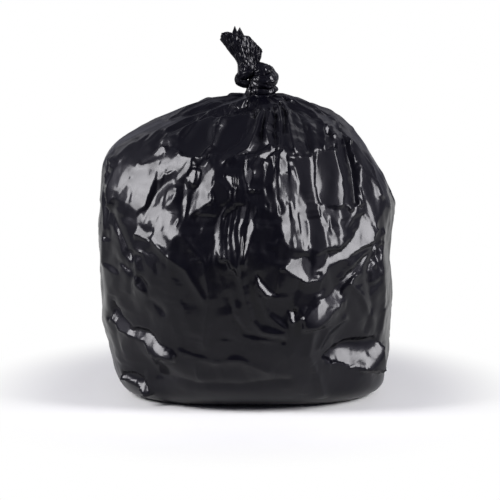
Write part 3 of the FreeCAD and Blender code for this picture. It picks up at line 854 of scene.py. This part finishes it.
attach(knot, "root")
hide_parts(NODE)

# The loose end: the mouth of the sack, which stands up out of the knot as a flattened fan,
# leans to the left, and opens in fine ruffles with a torn-looking rim.

TAIL_SEED = 21
TAIL_AROUND, TAIL_UP = 420, 90
RUFFLES, RUFFLE_WANDER = 34, 0.1
PINCH_LEFT, PINCH_RIGHT, PINCH_RISE = -34, -1, 47
RIM = ((-62, 86), (-59, 96), (-51, 98), (-43, 96), (-39, 107), (-35, 98), (-31, 105), (-24, 92),
       (-16, 91), (-8, 82), (-1, 76), (4, 70), (5, 64))
FAN_DEPTH, PINCH_DEPTH, DEPTH_GROWTH = 13.0, 9.0, 1.6
ROOT_RISE, FAN_SPAN = 32, 46
FAN_FLARE = 1.15
LEAN_BACK = 0.25
RUFFLE_ROOT, RUFFLE_GAIN, RUFFLE_GROWTH, RUFFLE_PROUD = 1.0, 1.5, 2, 1.2
TAIL_CRUMPLES = (16, 3.4), (6, 1.8)
CRUMPLE_ACROSS, CRUMPLE_OUT = 0.6, 1.6
HOLLOW_RIM, HOLLOW_BOTTOM = 0.92, 0.25

rolls = np.random.default_rng(TAIL_SEED)
rim_x, rim_z = np.array(RIM, float).T
around = 2 * np.pi * np.arange(TAIL_AROUND)[None] / TAIL_AROUND
up = np.linspace((ROOT_RISE - PINCH_RISE) / FAN_SPAN, 1, TAIL_UP)[:, None]
rise = np.clip(up, 0, 1)
ruffle = pleats_around(around, up, RUFFLES, RUFFLE_WANDER, rolls) - 0.5
across = np.cos(around) + 0 * up
rim_across = rim_x[0] + (rim_x[-1] - rim_x[0]) * (across + 1) / 2
rim_rise = np.interp(rim_across, rim_x, rim_z)
pinch_across = PINCH_LEFT + (PINCH_RIGHT - PINCH_LEFT) * (across + 1) / 2
x = pinch_across + (rim_across - pinch_across) * rise ** FAN_FLARE
z = PINCH_RISE + (rim_rise - PINCH_RISE) * rise + (up - rise) * FAN_SPAN
y = np.sin(around) * (PINCH_DEPTH + (FAN_DEPTH - PINCH_DEPTH) * eased(rise * DEPTH_GROWTH))
y = y + LEAN_BACK * (z - PINCH_RISE)
ruffle_out = (RUFFLE_ROOT + RUFFLE_GAIN * eased(rise * RUFFLE_GROWTH)) * ruffle
x = x + np.cos(around) * ruffle_out
y = y + np.sin(around) * ruffle_out * RUFFLE_PROUD
outside = np.stack([x, y, z], -1)
crumple_way = np.stack([CRUMPLE_ACROSS * np.cos(around) + 0 * up,
                        CRUMPLE_OUT * np.sin(around) + 0 * up, 0 * across], -1)
for size, depth in TAIL_CRUMPLES:
    outside += depth * (crumple(outside, size, rolls) - 0.5)[..., None] * crumple_way
inner = outside[::-1][1:TAIL_UP // 2].copy()
middle = inner.mean(1, keepdims=True)
sink = np.linspace(HOLLOW_RIM, HOLLOW_BOTTOM, len(inner))[:, None]
inner[..., 1] = inner[..., 1] * sink
inner[..., 0] = middle[..., 0] + (inner[..., 0] - middle[..., 0]) * (0.5 + 0.5 * sink)
tail_rings = (np.concatenate([outside, inner]) + NECK_MM) / 1000
loose_end = ring_mesh("loose_end", tail_rings, close_start=True, close_end=True)
loose_end.data.materials.append(black_film)
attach(loose_end, "root")
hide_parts(NODE)

# The floor: one wide pale sheet, plain and unmarked. It keeps the sack's soft shadow, and
# past that it looks white. The film mirrors that white too, but not from past the front
# edge, where it mirrors the plain sheet in the room's dim light.

FLOOR_SIZE = 60
FLOOR_PAINT = (0.81, 0.81, 0.8, 1)
FLOOR_ROUGHNESS, FLOOR_SPECULAR = 0.9, 0.2
WHITE = (1, 1, 1, 1)
SHADOW_ENDS, WHITE_STARTS = 0.27, 0.48
FRONT_EDGE, FRONT_FADE = -0.66, 0.18

bpy.ops.object.select_all(action="DESELECT")
bpy.ops.mesh.primitive_plane_add(size=FLOOR_SIZE)
floor = bpy.context.object
floor.name = "floor"
floor_paint = bpy.data.materials.new("floor_paint")
floor_paint.use_nodes = True
nodes, links = floor_paint.node_tree.nodes, floor_paint.node_tree.links
shader = nodes["Principled BSDF"]
shader.inputs["Base Color"].default_value = FLOOR_PAINT
shader.inputs["Roughness"].default_value = FLOOR_ROUGHNESS
shader.inputs["Specular IOR Level"].default_value = FLOOR_SPECULAR


def math_node(operation, first, second=None, clamp=False):
    """A math node fed with values or sockets."""
    node = nodes.new("ShaderNodeMath")
    node.operation, node.use_clamp = operation, clamp
    for socket, value in zip(node.inputs, (first, second)):
        if isinstance(value, bpy.types.NodeSocket):
            links.new(value, socket)
        elif value is not None:
            socket.default_value = value
    return node.outputs[0]


def ramp_node(value, start, end):
    """0 before the start and 1 past the end, smooth between."""
    node = nodes.new("ShaderNodeMapRange")
    node.interpolation_type = "SMOOTHSTEP"
    links.new(value, node.inputs["Value"])
    node.inputs["From Min"].default_value, node.inputs["From Max"].default_value = start, end
    return node.outputs["Result"]


place = nodes.new("ShaderNodeTexCoord")
away = nodes.new("ShaderNodeVectorMath")
away.operation = "LENGTH"
links.new(place.outputs["Object"], away.inputs[0])
parts = nodes.new("ShaderNodeSeparateXYZ")
links.new(place.outputs["Object"], parts.inputs[0])
past_shadow = ramp_node(away.outputs["Value"], SHADOW_ENDS, WHITE_STARTS)
not_far_front = ramp_node(parts.outputs["Y"], FRONT_EDGE - FRONT_FADE, FRONT_EDGE)
rays = nodes.new("ShaderNodeLightPath")
bent = math_node("ADD", rays.outputs["Is Glossy Ray"], rays.outputs["Is Transmission Ray"], True)
bent = math_node("MULTIPLY", bent, not_far_front)
looked_at = math_node("ADD", rays.outputs["Is Camera Ray"], bent, True)
whiteness = math_node("MULTIPLY", past_shadow, looked_at)
white = nodes.new("ShaderNodeEmission")
white.inputs["Color"].default_value = WHITE
blend = nodes.new("ShaderNodeMixShader")
links.new(whiteness, blend.inputs["Fac"])
links.new(shader.outputs[0], blend.inputs[1])
links.new(white.outputs[0], blend.inputs[2])
links.new(blend.outputs[0], nodes["Material Output"].inputs["Surface"])
floor.data.materials.append(floor_paint)

# The light: a tall soft lamp at the left and at the right of the front, each with a grid that
# narrows it, two far weaker ones behind for the rims, and a room that is dark behind the
# camera and paler towards its ceiling and its back.

ROOM_FRONT, ROOM_PALE = (0.11, 0.11, 0.15, 1), (0.27, 0.27, 0.32, 1)
ROOM_SLANT, ROOM_DARKEST, ROOM_PALEST = 0.6, -0.3, 1.0
LAMP_GLOW, BACK_GLOW = 35.0, 1.2
LAMP_SPREAD = math.radians(58)
LAMP_COLOUR = (0.985, 0.975, 1.0)

world = bpy.data.worlds.new("room")
bpy.context.scene.world = world
world.use_nodes = True
nodes, links = world.node_tree.nodes, world.node_tree.links
place = nodes.new("ShaderNodeTexCoord")
parts = nodes.new("ShaderNodeSeparateXYZ")
links.new(place.outputs["Generated"], parts.inputs[0])
slant = math_node("ADD", math_node("MULTIPLY", parts.outputs["Y"], ROOM_SLANT), parts.outputs["Z"])
mix = nodes.new("ShaderNodeMix")
mix.data_type = "RGBA"
links.new(ramp_node(slant, ROOM_DARKEST, ROOM_PALEST), mix.inputs["Factor"])
mix.inputs["A"].default_value, mix.inputs["B"].default_value = ROOM_FRONT, ROOM_PALE
links.new(mix.outputs["Result"], nodes["Background"].inputs["Color"])


def towards(turn, rise):
    """A direction by its turn to the right of the front and its rise."""
    return np.array((math.sin(turn) * math.cos(rise), -math.cos(turn) * math.cos(rise),
                     math.sin(rise)))


def soft_lamp(key, glow):
    """A gridded soft box that faces the sack; glow is its brightness straight on."""
    turn, rise, width, tall = LAMPS[key]
    way = Vector(towards(turn, rise))
    heart = Vector((0, 0, HEART_HEIGHT))
    bpy.ops.object.light_add(type="AREA", location=heart + way * LAMP_DISTANCE)
    lamp = bpy.context.object
    lamp.name = "lamp_" + key
    lamp.rotation_euler = (-way).to_track_quat("-Z", "Y").to_euler()
    lamp.data.shape = "RECTANGLE"
    lamp.data.size, lamp.data.size_y = width, tall
    lamp.data.color = LAMP_COLOUR
    lamp.data.spread = LAMP_SPREAD
    half = LAMP_SPREAD / 2
    lamp.data.energy = glow * math.pi * width * tall * (1 - half / math.tan(half))


soft_lamp("l", LAMP_GLOW)
soft_lamp("r", LAMP_GLOW)
soft_lamp("back_l", BACK_GLOW)
soft_lamp("back_r", BACK_GLOW)
